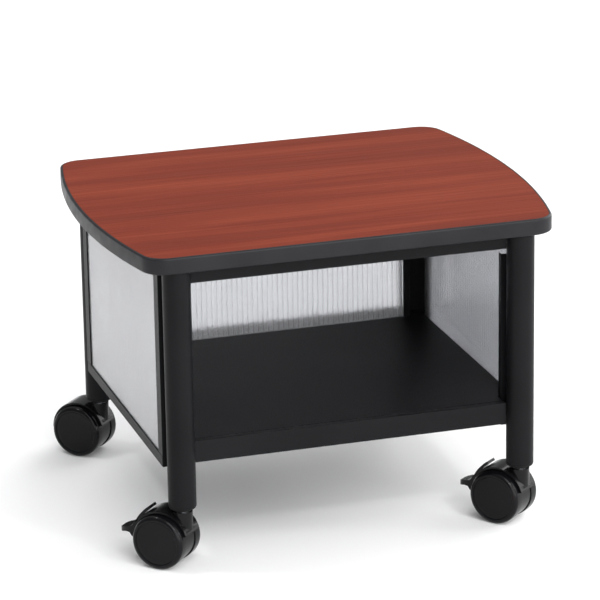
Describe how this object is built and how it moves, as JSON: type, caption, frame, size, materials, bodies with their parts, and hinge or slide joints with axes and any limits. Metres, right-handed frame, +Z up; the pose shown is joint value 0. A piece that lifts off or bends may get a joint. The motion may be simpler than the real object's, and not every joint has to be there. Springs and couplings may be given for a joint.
{
  "type": "mobile printer stand",
  "caption": "Low rolling stand: a wood-laminate top with bowed sides on tube legs, an open shelf between ribbed clear panels, and twin-wheel casters with front brakes.",
  "frame": {"origin": "on the floor, at the centre of the rectangle that the whole stand covers, casters included", "axes": "+Z up, +X to the right as seen from the open front, which faces -Y"},
  "size_m": [0.5206, 0.4568, 0.3683],
  "materials": {
    "laminate": "satin cherry wood-grain laminate",
    "edge_band": "satin black moulded edge band",
    "powder_coat": "satin black powder coat",
    "ribbed_panel": "translucent twin-wall polycarbonate with fine vertical ribs",
    "moulded_plastic": "matt black moulded plastic",
    "caster_plastic": "satin black moulded nylon",
    "wheel_plastic": "glossy black moulded nylon",
    "zinc_steel": "zinc plated steel"
  },
  "bodies": {
    "frame": {"top_board": "laminate", "top_edge_band": "edge_band", "front_left_leg": "powder_coat", "front_left_leg_socket": "moulded_plastic", "front_left_caster_stem": "zinc_steel", "front_right_leg": "powder_coat", "front_right_leg_socket": "moulded_plastic", "front_right_caster_stem": "zinc_steel", "rear_left_leg": "powder_coat", "rear_left_leg_socket": "moulded_plastic", "rear_left_caster_stem": "zinc_steel", "rear_right_leg": "powder_coat", "rear_right_leg_socket": "moulded_plastic", "rear_right_caster_stem": "zinc_steel", "front_apron": "powder_coat", "rear_apron": "powder_coat", "left_apron": "powder_coat", "right_apron": "powder_coat", "front_left_board_screw": "zinc_steel", "front_right_board_screw": "zinc_steel", "rear_left_board_screw": "zinc_steel", "rear_right_board_screw": "zinc_steel", "shelf_front_crossbar": "powder_coat", "shelf_rear_crossbar": "powder_coat", "shelf_deck": "powder_coat", "left_front_upright": "powder_coat", "left_rear_upright": "powder_coat", "left_bottom_rail": "powder_coat", "left_side_panel": "ribbed_panel", "left_back_channel": "powder_coat", "right_front_upright": "powder_coat", "right_rear_upright": "powder_coat", "right_bottom_rail": "powder_coat", "right_side_panel": "ribbed_panel", "right_back_channel": "powder_coat", "back_panel": "ribbed_panel"},
    "front_left_caster": {"front_left_caster_hood": "caster_plastic", "front_left_axle": "zinc_steel", "front_left_brake_pin": "zinc_steel"},
    "front_left_wheel_a": {"front_left_wheel_a": "wheel_plastic"},
    "front_left_wheel_b": {"front_left_wheel_b": "wheel_plastic"},
    "front_left_brake": {"front_left_brake_lever": "caster_plastic"},
    "front_right_caster": {"front_right_caster_hood": "caster_plastic", "front_right_axle": "zinc_steel", "front_right_brake_pin": "zinc_steel"},
    "front_right_wheel_a": {"front_right_wheel_a": "wheel_plastic"},
    "front_right_wheel_b": {"front_right_wheel_b": "wheel_plastic"},
    "front_right_brake": {"front_right_brake_lever": "caster_plastic"},
    "rear_left_caster": {"rear_left_caster_hood": "caster_plastic", "rear_left_axle": "zinc_steel"},
    "rear_left_wheel_a": {"rear_left_wheel_a": "wheel_plastic"},
    "rear_left_wheel_b": {"rear_left_wheel_b": "wheel_plastic"},
    "rear_right_caster": {"rear_right_caster_hood": "caster_plastic", "rear_right_axle": "zinc_steel"},
    "rear_right_wheel_a": {"rear_right_wheel_a": "wheel_plastic"},
    "rear_right_wheel_b": {"rear_right_wheel_b": "wheel_plastic"}
  },
  "joints": [
    {"name": "front_left_swivel", "type": "hinge", "parent": "frame", "child": "front_left_caster", "pos_m": [-0.201, -0.20541, 0.07], "axis": [0, 0, 1], "continuous": true},
    {"name": "front_left_wheel_a_spin", "type": "hinge", "parent": "front_left_caster", "child": "front_left_wheel_a", "pos_m": [-0.2166, -0.19061, 0.03175], "axis": [-0.6884, -0.7254, 0], "continuous": true},
    {"name": "front_left_wheel_b_spin", "type": "hinge", "parent": "front_left_caster", "child": "front_left_wheel_b", "pos_m": [-0.2166, -0.19061, 0.03175], "axis": [-0.6884, -0.7254, 0], "continuous": true},
    {"name": "front_left_brake_press", "type": "hinge", "parent": "front_left_caster", "child": "front_left_brake", "pos_m": [-0.23979, -0.1686, 0.04599], "axis": [-0.6884, -0.7254, 0], "range_deg": [0, 12]},
    {"name": "front_right_swivel", "type": "hinge", "parent": "frame", "child": "front_right_caster", "pos_m": [0.201, -0.20541, 0.07], "axis": [0, 0, 1], "continuous": true},
    {"name": "front_right_wheel_a_spin", "type": "hinge", "parent": "front_right_caster", "child": "front_right_wheel_a", "pos_m": [0.18738, -0.18877, 0.03175], "axis": [-0.7738, -0.6334, 0], "continuous": true},
    {"name": "front_right_wheel_b_spin", "type": "hinge", "parent": "front_right_caster", "child": "front_right_wheel_b", "pos_m": [0.18738, -0.18877, 0.03175], "axis": [-0.7738, -0.6334, 0], "continuous": true},
    {"name": "front_right_brake_press", "type": "hinge", "parent": "front_right_caster", "child": "front_right_brake", "pos_m": [0.16713, -0.16403, 0.04599], "axis": [-0.7738, -0.6334, 0], "range_deg": [0, 12]},
    {"name": "rear_left_swivel", "type": "hinge", "parent": "frame", "child": "rear_left_caster", "pos_m": [-0.201, 0.17459, 0.07], "axis": [0, 0, 1], "continuous": true},
    {"name": "rear_left_wheel_a_spin", "type": "hinge", "parent": "rear_left_caster", "child": "rear_left_wheel_a", "pos_m": [-0.21672, 0.18926, 0.03175], "axis": [-0.682, -0.7314, 0], "continuous": true},
    {"name": "rear_left_wheel_b_spin", "type": "hinge", "parent": "rear_left_caster", "child": "rear_left_wheel_b", "pos_m": [-0.21672, 0.18926, 0.03175], "axis": [-0.682, -0.7314, 0], "continuous": true},
    {"name": "rear_right_swivel", "type": "hinge", "parent": "frame", "child": "rear_right_caster", "pos_m": [0.201, 0.17459, 0.07], "axis": [0, 0, 1], "continuous": true},
    {"name": "rear_right_wheel_a_spin", "type": "hinge", "parent": "rear_right_caster", "child": "rear_right_wheel_a", "pos_m": [0.18634, 0.19032, 0.03175], "axis": [-0.7314, -0.682, 0], "continuous": true},
    {"name": "rear_right_wheel_b_spin", "type": "hinge", "parent": "rear_right_caster", "child": "rear_right_wheel_b", "pos_m": [0.18634, 0.19032, 0.03175], "axis": [-0.7314, -0.682, 0], "continuous": true}
  ]
}
